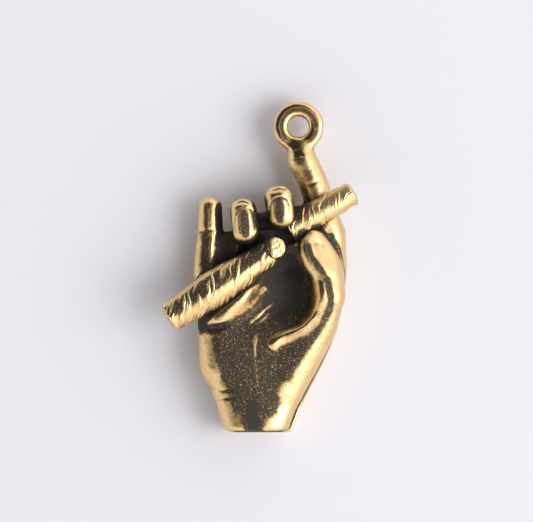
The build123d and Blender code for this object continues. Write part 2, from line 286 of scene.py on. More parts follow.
@dataclass(frozen=True)
class PalmBody:
    """The palm and wrist: round sections that follow each other up the hand."""

    sections: tuple[PalmSection, ...]
    wrist_y: float
    middle_x: float
    middle_z: float
    shift: Flat = (0.0, 0.0)
    squareness: float = 2.0
    even_over: float = 1.6
    end_rounding: float = 0.35
    room: float = 1.0

    def box(self) -> tuple[Array, Array]:
        """Returns the lowest and highest corner."""
        half = max(s.width for s in self.sections) / 2 + 2 * self.room
        top = self.sections[-1].height + self.room
        return (np.array([self.middle_x - half, self.wrist_y - self.room / 2, REST_Z]),
                np.array([self.middle_x + half, self.wrist_y + top, self.room - REST_Z]))

    def along(self, heights: Array, name: str) -> Array:
        """Reads one of the sections' sizes at many heights, evened out between the sections.

        Args:
            heights: Heights over the wrist, evenly spaced.
            name: The size's name.

        Returns:
            The size at each height.
        """
        known = [s.height for s in self.sections]
        step = heights[1] - heights[0]
        reach = max(1, round(self.even_over / step / 2))
        wide = np.concatenate([heights[0] - step * np.arange(reach, 0, -1), heights,
                               heights[-1] + step * np.arange(1, reach + 1)])
        raw = np.interp(wide, known, [getattr(s, name) for s in self.sections])
        return np.convolve(raw, np.ones(2 * reach + 1) / (2 * reach + 1), "valid")

    def distance(self, p: Axes) -> Array:
        """Returns the distance to the surface, below zero inside."""
        x, y, z = p
        heights = (y - self.wrist_y - self.shift[1]).ravel()
        names = ("offset", "width", "thickness")
        offset, width, thickness = (self.along(heights, name)[None, :, None] for name in names)
        u = np.abs(x - self.middle_x - self.shift[0] - offset) / (width / 2) + TINY
        w = np.abs(z - self.middle_z) / (thickness / 2) + TINY
        power = self.squareness
        size = (u ** power + w ** power) ** (1 / power)
        slope = np.sqrt((u ** (power - 1) / (width / 2)) ** 2 + (w ** (power - 1) / (thickness / 2)) ** 2)
        side = (size - 1) * size ** (power - 1) / slope
        end = np.broadcast_to(self.wrist_y + self.shift[1] - y, side.shape)
        return soft_max(side, end, self.end_rounding)


@dataclass(frozen=True)
class EyeRing:
    """The hanging loop: a round ring with a flat top and rounded edges."""

    hole_radius: float
    outer_radius: float
    half_thickness: float
    rounding: float

    def box(self) -> tuple[Array, Array]:
        """Returns the lowest and highest corner."""
        reach = np.array([self.outer_radius, self.outer_radius, self.half_thickness])
        return -reach, reach

    def distance(self, p: Axes) -> Array:
        """Returns the distance to the surface, below zero inside."""
        half = (self.outer_radius - self.hole_radius) / 2
        off = np.abs(np.hypot(p[0], p[1]) - self.hole_radius - half) - half + self.rounding
        rise = np.abs(p[2]) - self.half_thickness + self.rounding
        outside = np.hypot(np.maximum(off, 0), np.maximum(rise, 0))
        return outside + np.minimum(np.maximum(off, rise), 0) - self.rounding


@dataclass(frozen=True)
class Touch:
    """A touch of the sculptor: a form to add or to cut away, and how wide the fillet at its border is."""

    form: Form
    fillet: float
    cut: bool = False


@dataclass(frozen=True)
class Stroke:
    """A crease, or with a depth below zero a ridge, drawn on one side of the hand."""

    points: tuple[Flat, ...]
    width: float
    depth: float
    low_z: float = 0.3
    high_z: float = 5.0
    widths_to_fade: float = 2.5

    def box(self) -> tuple[Array, Array]:
        """Returns the lowest and highest corner."""
        flat = np.array(self.points)
        reach = self.widths_to_fade * self.width
        return (np.array([*(flat.min(0) - reach), self.low_z]),
                np.array([*(flat.max(0) + reach), self.high_z]))

    def press(self, distance: Array, p: Axes) -> Array:
        """Returns the distance field with the stroke on it."""
        gap, along = polyline_distance(p[0], p[1], self.points)
        taper = np.sqrt(np.clip(1 - (2 * along - 1) ** 4, 0.0, 1))
        return distance + self.depth * taper * np.exp(-(gap / self.width) ** 2)


@dataclass(frozen=True)
class PaintedBand:
    """A band on the palm's side painted darker, as painted shade and as patina, or painted lighter, as a
    painted highlight.
    """

    points: tuple[Flat, ...]
    width: float
    amount: float
    low_z: float = 0.0

    def at(self, places: Array) -> Array:
        """Returns how strong the band is at places, one row each."""
        gap, _ = polyline_distance(places[:, 0], places[:, 1], self.points)
        return np.where(places[:, 2] > self.low_z, self.amount * np.exp(-(gap / self.width) ** 2), 0.0)


class Clay:
    """Metal held as a distance field on a grid, below zero inside."""

    margin: float = 1.2

    def __init__(self, low: Point, high: Point, step: float) -> None:
        """Makes an empty grid.

        Args:
            low: The grid's lowest corner.
            high: The grid's highest corner.
            step: The distance between grid points.
        """
        self.low = np.array(low)
        self.step = step
        count = np.ceil((np.array(high) - self.low) / step).astype(int) + 1
        self.field = np.full(count, FAR, np.float32)

    def part(self, low: Array, high: Array) -> tuple[slice, ...]:
        """Returns the grid's slices that cover a box."""
        first = np.clip(np.floor((np.asarray(low) - self.low) / self.step).astype(int), 0, None)
        last = np.ceil((np.asarray(high) - self.low) / self.step).astype(int) + 1
        return tuple(slice(a, min(b, n)) for a, b, n in zip(first, last, self.field.shape))

    def axes(self, part: tuple[slice, ...]) -> Axes:
        """Returns the coordinates of a part of the grid, one open array for each axis."""
        lines = [self.low[k] + self.step * np.arange(s.start, s.stop) for k, s in enumerate(part)]
        x, y, z = (line.astype(np.float32) for line in lines)
        return x[:, None, None], y[None, :, None], z[None, None, :]

    def around(self, low: Array, high: Array, margin: float) -> tuple[tuple[slice, ...], Axes]:
        """Returns the slices and coordinates of a box with a margin."""
        part = self.part(np.asarray(low) - margin, np.asarray(high) + margin)
        return part, self.axes(part)

    def everywhere(self) -> Axes:
        """Returns the coordinates of the whole grid."""
        return self.axes(tuple(slice(0, count) for count in self.field.shape))

    def work(self, touch: Touch) -> None:
        """Adds a form or takes it away, with a fillet where it meets the metal."""
        part, p = self.around(*touch.form.box(), self.margin)
        distance = touch.form.distance(p)
        if touch.cut:
            self.field[part] = soft_max(self.field[part], -distance, touch.fillet)
        else:
            self.field[part] = soft_min(self.field[part], distance, touch.fillet)

    def press(self, stroke: Stroke) -> None:
        """Sinks or raises the surface by a stroke."""
        part, p = self.around(*stroke.box(), 0.0)
        self.field[part] = stroke.press(self.field[part], p)

    def sample(self, points: Array, values: Array | None = None) -> Array:
        """Reads the field, or other values on its grid, at places between grid points, one row each."""
        return read_between(self.field if values is None else values, (points - self.low) / self.step)


def read_between(field_values: Array, places: Array) -> Array:
    """Reads a grid of values between its points.

    Args:
        field_values: The grid.
        places: Places in grid steps, one row each.

    Returns:
        The value at each place.
    """
    top = np.array(field_values.shape) - 2
    first = np.clip(np.floor(places).astype(int), 0, top)
    t = np.clip(places - first, 0, 1)
    total = np.zeros(len(places))
    for corner in np.ndindex(2, 2, 2):
        weight = np.prod(np.where(corner, t, 1 - t), axis=1)
        total += weight * field_values[tuple((first + corner).T)]
    return total


def blurred(values: Array, reach: int) -> Array:
    """Evens a grid out with two passes of a running mean along each axis.

    Args:
        values: The grid.
        reach: How many steps the mean takes in on each side.

    Returns:
        The evened grid.
    """
    out = values
    for axis in (0, 1, 2, 0, 1, 2):
        pad = [(reach + 1, reach) if k == axis else (0, 0) for k in range(3)]
        sums = np.cumsum(np.pad(out, pad, mode="edge"), axis=axis)
        high = np.take(sums, range(2 * reach + 1, sums.shape[axis]), axis=axis)
        low = np.take(sums, range(0, sums.shape[axis] - 2 * reach - 1), axis=axis)
        out = (high - low) / (2 * reach + 1)
    return out


def new_piece(name: str, mesh: bpy.types.Mesh, material: bpy.types.Material) -> bpy.types.Object:
    """Puts a finished mesh into the scene.

    Args:
        name: The piece's name.
        mesh: Its mesh, in metres and in place.
        material: Its finish.

    Returns:
        The new object.
    """
    mesh.materials.clear()
    mesh.materials.append(material)
    mesh.shade_smooth()
    return put(name, mesh)


def surface(values: Array, step: float) -> tuple[Array, Array]:
    """Finds the surface of a distance field.

    Args:
        values: The field, below zero inside.
        step: The grid's step.

    Returns:
        The surface's points, from the grid's lowest corner, and its four-sided faces.
    """
    band = BAND_STEPS * step
    grid = openvdb.FloatGrid(band)
    grid.copyFromArray(np.clip(values, -band, band).astype(np.float32))
    grid.gridClass = openvdb.GridClass.LEVEL_SET
    grid.transform = openvdb.createLinearTransform(voxelSize=step)
    return grid.convertToQuads(0.0)


def main_shell(points: Array, quads: Array) -> tuple[Array, Array]:
    """Keeps the biggest shell of a surface and drops stray specks.

    Args:
        points: The surface's points.
        quads: Its four-sided faces.

    Returns:
        The points and faces that stay.
    """
    label = np.arange(len(points))
    changed = True
    while changed:
        new = label.copy()
        np.minimum.at(new, quads, label[quads].min(1)[:, None])
        new = new[new]
        changed = bool((new != label).any())
        label = new
    stays = label == np.bincount(label).argmax()
    number = np.cumsum(stays) - 1
    return points[stays], number[quads[stays[quads[:, 0]]]]


def mesh_from_field(name: str, values: Array, low: Array, step: float) -> bpy.types.Mesh:
    """Turns a distance field into a closed mesh.

    Args:
        name: The mesh's name.
        values: The field, below zero inside.
        low: The grid's lowest corner in millimetres.
        step: The grid's step in millimetres.

    Returns:
        The mesh, in metres.
    """
    points, quads = main_shell(*surface(values, step))
    mesh = bpy.data.meshes.new(name)
    mesh.from_pydata((points + low) * MM, [], quads[:, ::-1])
    mesh.update()
    return mesh


# Finishes


@dataclass(frozen=True)
class AntiqueGold:
    """Gold-plated cast brass, dipped in a dark patina and wiped: bright heights and dark hollows, with
    painted shade and painted highlights laid into the same coat.
    """

    name: str
    gold: str = "F3DAA6"
    warm: str = "E2B878"
    brown: str = "5E4E38"
    patina_and_shade: str = "342F2A"
    roughness: float = 0.24
    # The cast skin's grain of about 0.04 mm is finer than a pixel, so it is drawn coarser in order to show.
    grain_mm: float = 0.11
    grain_depth_mm: float = 0.08
    grain_detail: float = 2.0
    grain_roughness: float = 0.6
    cloud_mm: float = 1.6
    cloud_detail: float = 3.0
    crease_share: float = 1.5
    cloud_share: float = 0.12
    grain_share: float = 0.3
    dirt_and_shade_range: Flat = (0.28, 0.95)
    speck_range: Flat = (0.56, 0.66)
    speck_dirt: float = 0.2
    filled_range: Flat = (0.52, 0.74)
    brown_full: float = 0.5
    crust_start: float = 0.4
    crust_metallic: float = 0.4
    dull_range: Flat = (0.3, 0.8)
    dull_roughness: float = 0.5
    rugged_range: Flat = (0.2, 0.7)
    least_rugged: float = 0.3

    def material(self) -> bpy.types.Material:
        """Builds the finish's nodes.

        Returns:
            The material.
        """
        made = bpy.data.materials.new(self.name)
        made.use_nodes = True
        made.node_tree.nodes.clear()
        add = partial(add_node, made.node_tree)
        place = add("ShaderNodeTexCoord").outputs["Object"]
        patina_shade_map = add("ShaderNodeAttribute", attribute_name="patina_shade_map").outputs["Fac"]
        hollow = add("ShaderNodeAttribute", attribute_name="hollow").outputs["Fac"]
        cloud = add(NOISE, {"Vector": place, "Scale": 1 / (self.cloud_mm * MM), "Detail": self.cloud_detail})
        grain = add(NOISE, {"Vector": place, "Scale": 1 / (self.grain_mm * MM), "Detail": self.grain_detail,
                            "Roughness": self.grain_roughness})
        # The patina mask and the hollow attribute also carry painted shade and painted highlights, which
        # this dark coat shows
        wear_and_shade = add(MATH, (hollow, self.crease_share, patina_shade_map), operation="MULTIPLY_ADD")
        wear_and_shade = add(MATH, (cloud, self.cloud_share, wear_and_shade), operation="MULTIPLY_ADD")
        wear_and_shade = add(MATH, (grain, self.grain_share, wear_and_shade), operation="MULTIPLY_ADD")
        dirt_and_shade = add(RANGE, (wear_and_shade, *self.dirt_and_shade_range), interpolation_type="SMOOTHSTEP")
        speck = add(RANGE, (grain, *self.speck_range, 1.0, self.speck_dirt))
        filled = add(RANGE, (patina_shade_map, *self.filled_range))
        speck = add(MATH, (speck, filled), operation="MAXIMUM")
        dirt_and_shade = add(MATH, (dirt_and_shade, speck), operation="MULTIPLY")
        darkening = add(RANGE, (dirt_and_shade, 0.0, self.brown_full))
        crust_and_shade = add(RANGE, (dirt_and_shade, self.crust_start))
        colour = linear(self.gold)
        for factor, over in ((cloud, self.warm), (darkening, self.brown), (crust_and_shade, self.patina_and_shade)):
            mix = add("ShaderNodeMix", {"Factor": factor, "A": colour, "B": linear(over)}, data_type="RGBA")
            colour = mix.outputs["Result"]
        rough = add(RANGE, (wear_and_shade, *self.dull_range, self.roughness, self.dull_roughness))
        bare = add(RANGE, (crust_and_shade, 0.0, 1.0, 1.0, self.crust_metallic))
        rugged = add(RANGE, (wear_and_shade, *self.rugged_range, self.least_rugged))
        depth = self.grain_depth_mm * MM
        bump = add("ShaderNodeBump", {"Height": grain, "Strength": rugged, "Distance": depth})
        shader = add("ShaderNodeBsdfPrincipled", {"Base Color": colour, "Metallic": bare, "Roughness": rough,
                                                  "Normal": bump})
        add("ShaderNodeOutputMaterial", {"Surface": shader})
        return made


# The hand


@dataclass
class Hand:
    """The sculpted hand with its hanging loop, cut into the part's own pieces."""

    low: Point = (-9.6, -26.2, -2.6)
    high: Point = (5.6, 2.6, 4.2)
    step: float = 0.076
    wrist_y: float = -25.757
    wrist_end: float = -25.95
    knuckle_point: Flat = (-2.348, -9.257)
    knuckle_tilt: float = 3.0
    knuckle_reach: float = 0.6
    knuckle_rounding: float = 0.8
    thumb_root: Point = (2.162, -14.328, 1.9)
    thumb_way: Point = (-0.035, 0.99, 0.139)
    thumb_skin: float = 0.3
    thumb_floor: float = 0.6
    neighbour: float = 2.5
    loop_way: Flat = (-0.139, 0.99)
    solder: Flat = (1.95, 2.6)
    palm_sections: tuple[PalmSection, ...] = (
        PalmSection(0.0, -1.27, 5.45, 4.3), PalmSection(3.0, -1.17, 7.55, 4.5),
        PalmSection(5.6, -1.02, 10.0, 4.9), PalmSection(8.9, -0.32, 11.55, 4.7),
        PalmSection(12.6, -0.1, 12.1, 4.3), PalmSection(17.16, 0.0, 11.9, 3.7))
    palm_z: float = -0.15
    mould_shift: Flat = (0.3, -0.2)
    palm_squareness: float = 2.8
    index: Digit = Digit(((2.5, -8.998, 0.0, 1.2), (1.45, -5.345, 0.0, 1.25), (0.35, -2.75, 0.0, 1.16),
                          (0.1, -1.75, 0.0, 0.8)))
    middle: Digit = Digit(((-1.065, -9.19, 0.0, 1.2), (-1.65, -6.4, 0.3, 1.12),
                           (-1.7, -6.35, 2.2, 1.08), (-1.3, -7.7, 2.25, 0.95)))
    ring: Digit = Digit(((-4.281, -9.359, 0.0, 1.2), (-4.6, -7.45, 0.2, 1.05),
                         (-4.65, -7.5, 2.0, 1.0), (-4.35, -9.0, 2.05, 0.92)))
    little: Digit = Digit(((-7.75, -12.5, -0.1, 1.25), (-7.6, -10.4, -0.05, 1.2), (-7.52, -9.1, 0.0, 1.1),
                           (-7.5, -8.6, 0.2, 1.1), (-7.484, -6.9, 0.24, 1.0)))
    thumb: Digit = Digit(((2.45, -14.36, 1.8, 1.35), (2.1, -12.6, 2.2, 1.15), (1.15, -11.3, 2.45, 0.95),
                          (0.72, -10.2, 2.4, 0.8), (1.05, -9.2, 2.1, 0.58)))
    thumb_pad: Digit = Digit(((2.6, -13.6, 1.6, 1.25), (2.5, -12.0, 1.65, 1.2), (2.0, -10.6, 1.65, 1.0),
                              (1.45, -9.45, 1.65, 0.75)))
    thenar: Digit = Digit(((-1.2, -22.0, 0.3, 1.6), (1.5, -17.0, 1.15, 1.65), (2.4, -14.36, 1.85, 1.4)))
    heel: Digit = Digit(((-6.77, -20.16, 0.3, 1.6), (-6.49, -16.86, 0.2, 1.95)))
    web: Digit = Digit(((-4.4, -8.6, -0.4, 1.1), (-2.8, -8.3, -0.4, 1.1), (1.2, -7.6, -0.4, 1.1)))
    middle_top: Block = Block((-1.57, -6.8, 2.3), 8.0, (1.17, 1.78, 1.22), 0.98)
    ring_top: Block = Block((-4.58, -8.02, 2.05), 6.0, (1.1, 1.92, 1.22), 0.98)
    hollow: Digit = Digit(((-1.1, -12.2, 3.2, 2.55), (-1.05, -14.2, 3.5, 2.6)))
    finger_gap: Digit = Digit(((-6.1, -8.4, 1.4, 0.8), (-6.3, -10.5, 2.1, 1.35), (-5.6, -11.8, 2.25, 1.4),
                               (-3.0, -10.3, 2.3, 1.35), (-0.1, -8.4, 2.3, 1.3)))
    thumb_gap: Digit = Digit(((2.75, -8.8, 1.7, 0.3), (3.1, -9.8, 1.7, 0.25), (3.4, -10.6, 1.8, 0.15)))
    index_side: Digit = Digit(((2.45, -8.0, 0.1, 1.0), (2.85, -9.6, 0.15, 0.98), (3.05, -11.6, 0.25, 0.98),
                               (2.9, -13.4, 0.5, 1.05)))
    fold: Digit = Digit(((-6.7, -16.1, 1.6, 1.05), (-4.75, -14.8, 1.75, 1.15), (-3.2, -13.75, 1.6, 0.95),
                         (-2.3, -13.05, 1.0, 0.7)))
    dip: Digit = Digit(((-4.3, -16.6, 3.75, 1.75), (-2.4, -15.4, 3.4, 2.0)))
    groove: Digit = Digit(((-8.2, -17.2, 2.0, 0.4), (-6.4, -16.95, 2.35, 0.32), (-4.9, -16.3, 2.5, 0.2)))
    loop: EyeRing = EyeRing(0.875, 2.14, 0.75, 0.42)
    index_tip: Block = Block((0.28, -2.95, 0.0), 20.0, (1.12, 0.95, 1.0), 0.85)
    mounds: tuple[Touch, ...] = (Touch(thenar, 0.8), Touch(heel, 0.6), Touch(fold, 0.6))
    touches: tuple[Touch, ...] = (
        Touch(groove, 0.25, cut=True), Touch(dip, 0.6, cut=True), Touch(hollow, 1.2, cut=True),
        Touch(finger_gap, 0.2, cut=True), Touch(web, 0.2), Touch(little, 0.3), Touch(middle, 0.3),
        Touch(ring, 0.3), Touch(index, 0.6), Touch(index_side, 0.6), Touch(thumb_gap, 0.25, cut=True),
        Touch(middle_top, 0.3), Touch(ring_top, 0.3), Touch(thumb_pad, 0.3), Touch(thumb, 0.6),
        Touch(index_tip, 0.5), Touch(loop, 0.5))
    strokes: tuple[Stroke, ...] = (
        # Fingertip creases and nails
        Stroke(((-2.38, -5.55), (-1.8, -5.3), (-1.0, -5.35)), 0.1, 0.2, 2.2),
        Stroke(((-5.3, -6.55), (-4.8, -6.36), (-4.1, -6.5)), 0.1, 0.2, 2.2),
        Stroke(((-2.3, -8.4), (-2.45, -7.4), (-2.35, -6.6), (-2.0, -6.15), (-1.5, -6.05), (-1.05, -6.2),
                (-0.8, -6.7), (-0.75, -7.5), (-0.92, -8.4)), 0.09, 0.1, 2.2),
        Stroke(((-5.1, -9.7), (-5.4, -8.6), (-5.38, -7.7), (-5.05, -7.0), (-4.6, -6.8), (-4.1, -7.0),
                (-3.82, -7.6), (-3.74, -8.5), (-3.87, -9.6)), 0.09, 0.1, 2.2),
        # The lip of the thumb's mound
        Stroke(((1.8, -13.1), (1.75, -14.7), (1.05, -16.1), (0.25, -17.05), (-0.85, -17.7), (-2.0, -18.25),
                (-2.4, -18.8)), 0.55, -0.26),
        Stroke(((1.4, -15.8), (0.5, -16.85), (-0.6, -17.35), (-1.6, -17.8), (-2.4, -18.6)), 0.18, -0.09),
        # The palm's line, then the wrist's creases
        Stroke(((-3.42, -17.4), (-3.5, -19.5), (-3.3, -21.9)), 0.1, 0.03),
        Stroke(((-3.72, -17.3), (-3.8, -19.5), (-3.62, -21.9)), 0.16, -0.02),
        Stroke(((-7.9, -22.0), (-6.5, -22.44), (-5.5, -22.36)), 0.08, 0.08),
        Stroke(((-6.95, -23.2), (-6.1, -23.1), (-5.3, -22.95)), 0.08, 0.08),
        # Streaks below the fold
        Stroke(((-4.2, -16.7), (-3.4, -16.05), (-2.7, -15.4), (-1.7, -14.75)), 0.11, -0.09),
        Stroke(((-3.7, -16.85), (-3.0, -16.3), (-2.4, -15.75), (-1.8, -15.4)), 0.1, -0.07),
        Stroke(((-4.9, -16.5), (-3.9, -15.65), (-2.9, -14.9)), 0.08, -0.06),
        # Joints of the little finger and of the index finger
        Stroke(((-8.6, -8.95), (-7.9, -8.95), (-7.2, -8.75)), 0.12, 0.08, -0.5),
        Stroke(((0.7, -4.95), (1.5, -4.65), (2.3, -4.3)), 0.1, 0.06, 0.0))
    shade_and_patina_bands: tuple[PaintedBand, ...] = (
        # Painted shade along the thumb's crest and the top of its mound, where the gold mirrors the dark
        # overhead
        PaintedBand(((0.72, -10.1), (0.95, -11.0), (1.7, -12.1), (2.35, -13.1), (2.65, -14.5)), 0.52, 0.7, 1.6),
        PaintedBand(((2.65, -14.4), (2.5, -15.6), (1.9, -16.8), (1.0, -17.8), (-0.4, -19.3)), 0.6, 0.6, 1.0),
        # The little finger's root, the mound's foot and the wrist
        PaintedBand(((-7.85, -9.2), (-7.9, -10.5), (-7.95, -11.8)), 0.6, 0.62),
        PaintedBand(((2.7, -15.0), (1.75, -17.0), (0.2, -19.2), (-0.9, -20.9)), 0.6, 0.6, 0.6),
        PaintedBand(((-3.95, -23.6), (-3.8, -25.9)), 1.45, 0.68, 0.6),
        PaintedBand(((3.3, -15.8), (2.6, -17.4), (1.3, -19.4), (0.2, -21.0)), 0.5, 0.3, 0.3),
        # Painted shade: a dark band down the little finger's side, and on the nail plates that face the dark
        # overhead
        PaintedBand(((-7.85, -6.6), (-7.8, -8.8)), 0.32, 0.62),
        PaintedBand(((-1.62, -6.5), (-1.6, -7.9)), 0.7, 0.61, 2.4),
        PaintedBand(((-4.58, -7.3), (-4.45, -9.1)), 0.7, 0.61, 2.4),
        # The heel of the hand, then painted shade over the ring's top and left side
        PaintedBand(((-6.95, -18.0), (-6.7, -19.6), (-6.3, -20.7)), 0.6, 0.62, 0.6),
        PaintedBand(arc(radius=1.45, end=225, count=11), 0.42, 0.56, 0.2))
    # Painted highlights: bands where the patina is cleared to bright gold
    painted_highlights: tuple[PaintedBand, ...] = (
        # The lip of the thumb's mound
        PaintedBand(((1.5, -13.1), (1.65, -14.7), (1.1, -16.2), (0.4, -17.1), (-0.6, -17.7), (-1.7, -18.2)),
              0.58, 0.99, 0.6),
        PaintedBand(((-1.7, -18.2), (-2.4, -18.9)), 0.4, 0.5, 0.6),
        # The fold
        PaintedBand(((-6.0, -16.1), (-5.1, -15.5), (-4.2, -14.85)), 0.6, 0.97, 1.0),
        PaintedBand(((-4.2, -14.85), (-2.9, -13.8)), 0.3, 0.8, 1.0),
        # Both sides of the wrist, then the thumb's edge
        PaintedBand(((-0.8, -22.3), (-0.9, -23.4), (-1.2, -24.8)), 0.7, 0.95, 0.6),
        PaintedBand(((-7.1, -21.3), (-6.8, -22.1)), 0.5, 0.9, 0.6),
        PaintedBand(((0.05, -9.8), (0.2, -10.8), (0.65, -11.6), (1.1, -12.4), (1.4, -13.2)), 0.4, 0.9, 1.0),
        # Streaks below the fold and the palm's line
        PaintedBand(((-4.1, -16.6), (-3.4, -16.05), (-2.7, -15.4), (-2.2, -15.0)), 0.16, 0.42, 0.6),
        PaintedBand(((-3.6, -16.75), (-3.0, -16.3), (-2.5, -15.85)), 0.13, 0.28, 0.6),
        PaintedBand(((-3.5, -17.6), (-3.68, -18.9), (-3.45, -20.3), (-3.42, -21.6)), 0.16, 0.36, 0.6))
    # The patina that stays on a piece's flat ground, and the share that stays where tools don't reach
    wiped: dict[str, Flat] = field(default_factory=lambda: {
        "thumb": (0.0, 1.0), "little_finger": (0.2, 1.0), "index_finger": (0.15, 0.3),
        "loop_solder": (0.2, 0.35), "hanging_loop": (0.56, 0.4)})
    flat_patina: float = 0.55
    unevenness: tuple[tuple[int, float], ...] = ((1, 0.003), (5, 0.006))
    grain_seed: int = 11
    lap: float = 0.035
    skin_steps: float = 0.35

    def sculpt(self) -> tuple[Clay, Clay]:
        """Builds the whole hand as one distance field.

        Returns:
            The clay, and the palm's clay before its hollows were cut.
        """
        clay = Clay(self.low, self.high, self.step)
        uncut = Clay(self.low, self.high, self.step)
        body = (self.palm_sections, self.wrist_y, self.knuckle_point[0], self.palm_z)
        palm = PalmBody(*body, squareness=self.palm_squareness)
        back = PalmBody(*body, shift=self.mould_shift)
        part, p = clay.around(*palm.box(), palm.room / 2)
        top = palm.distance(p)
        under = back.distance(p)
        halves = np.minimum(np.maximum(top, -p[2]), np.maximum(under, p[2]))
        past = self.over_knuckles(p) - self.knuckle_reach
        clay.field[part] = soft_max(halves, past, self.knuckle_rounding)
        uncut.field[part] = soft_max(top, past, self.knuckle_rounding)
        for touch in self.mounds:
            uncut.work(touch)
        for touch in self.mounds + self.touches:
            clay.work(touch)
        for stroke in self.strokes:
            clay.press(stroke)
        clay.field = blurred(clay.field, 1)
        for reach, depth in self.unevenness:
            noise = np.random.default_rng(self.grain_seed + reach).standard_normal(clay.field.shape)
            noise = blurred(noise.astype(np.float32), reach)
            clay.field += noise * (depth / noise.std())
        p = clay.everywhere()
        clay.field[:] = np.maximum(clay.field, np.maximum(REST_Z - p[2], self.wrist_end - p[1]))
        return clay, uncut

    def over_knuckles(self, p: Axes) -> Array:
        """Returns how far places are past the knuckle line."""
        tilt = math.radians(self.knuckle_tilt)
        x, y = self.knuckle_point
        return math.cos(tilt) * (p[1] - y) - math.sin(tilt) * (p[0] - x)

    def split(self, clay: Clay) -> dict[str, Array]:
        """Works out which part of the clay belongs to each piece.

        Args:
            clay: The whole hand.

        Returns:
            For each piece, a field that is below zero where the clay is its own.
        """
        p = clay.everywhere()
        shape = clay.field.shape
        digits = {"index_finger": (self.index,), "middle_finger": (self.middle,),
                  "ring_finger": (self.ring,), "little_finger": (self.little,),
                  "thumb": (self.thumb, self.thumb_pad)}
        near = {}
        for name, forms in digits.items():
            near[name] = np.full(shape, FAR * 2, np.float32)
            for form in forms:
                part, q = clay.around(*form.box(), self.neighbour)
                near[name][part] = np.minimum(near[name][part], form.distance(q))
        knuckle = np.broadcast_to(self.over_knuckles(p), shape)
        over_thumb = sum((c - r) * n for c, r, n in zip(p, self.thumb_root, unit(self.thumb_way)))
        thumb = np.maximum(np.maximum(-over_thumb, near["thumb"] - self.thumb_skin), self.thumb_floor - p[2])
        to_loop = self.loop_way[0] * p[0] + self.loop_way[1] * p[1]
        ring_side, finger_side = self.solder
        own = {"thumb": thumb}
        for name in list(digits)[:-1]:
            others = np.min([near[n] for n in digits if n != name], axis=0)
            own[name] = np.maximum(-knuckle, (near[name] - others) / 2)
            own[name] = np.maximum(own[name], np.maximum(-thumb, to_loop + finger_side))
        own["hanging_loop"] = np.broadcast_to(-ring_side - to_loop, shape)
        own["loop_solder"] = np.maximum(to_loop + ring_side, -finger_side - to_loop)
        for name, past_seam in (("palm_half", -p[2]), ("back_half", p[2])):
            own[name] = np.maximum(np.maximum(knuckle, past_seam), -thumb)
        return own

    def build(self, clay: Clay, patina_shade_map: "PatinaAndPaintedLight", materials: dict[Slot, bpy.types.Material]) -> None:
        """Makes a closed mesh for each of the hand's pieces.

        Args:
            clay: The whole hand.
            patina_shade_map: The patina, the painted shade and highlights, and how deep places lie.
            materials: The finish of each slot.
        """
        for name, own in self.split(clay).items():
            slot = Slot.LOOP if name in ("hanging_loop", "loop_solder") else Slot.HAND
            mesh = mesh_from_field(name, np.maximum(clay.field, own - self.lap), clay.low, clay.step)
            normals, skin = self.even_normals(mesh, clay)
            flat, shade = self.wiped.get(name, (self.flat_patina, 1.0))
            patina_shade_map.store(mesh, normals, skin, flat=flat, shade=shade, shade_and_patina_bands=self.shade_and_patina_bands, painted_highlights=self.painted_highlights)
            piece = new_piece(name + "_cast", mesh, materials[slot])
            mesh.normals_split_custom_set_from_vertices(normals.tolist())
            dress(piece, name)

    def even_normals(self, mesh: bpy.types.Mesh, clay: Clay) -> tuple[Array, Array]:
        """Finds the direction of a piece's surface, by the whole clay where it is the hand's own skin.

        Args:
            mesh: The piece's mesh.
            clay: The whole hand.

        Returns:
            One row for each point, so that the cuts between pieces don't show, and which points are skin.
        """
        places = coordinates(mesh)
        normals = point_normals(mesh)
        on_skin = np.abs(clay.sample(places)) < self.skin_steps * clay.step
        slopes = np.stack([clay.sample(places + off) - clay.sample(places - off)
                           for off in np.eye(3) * clay.step], axis=1)
        slopes /= np.linalg.norm(slopes, axis=1, keepdims=True) + TINY
        normals[on_skin] = slopes[on_skin]
        return normals, on_skin


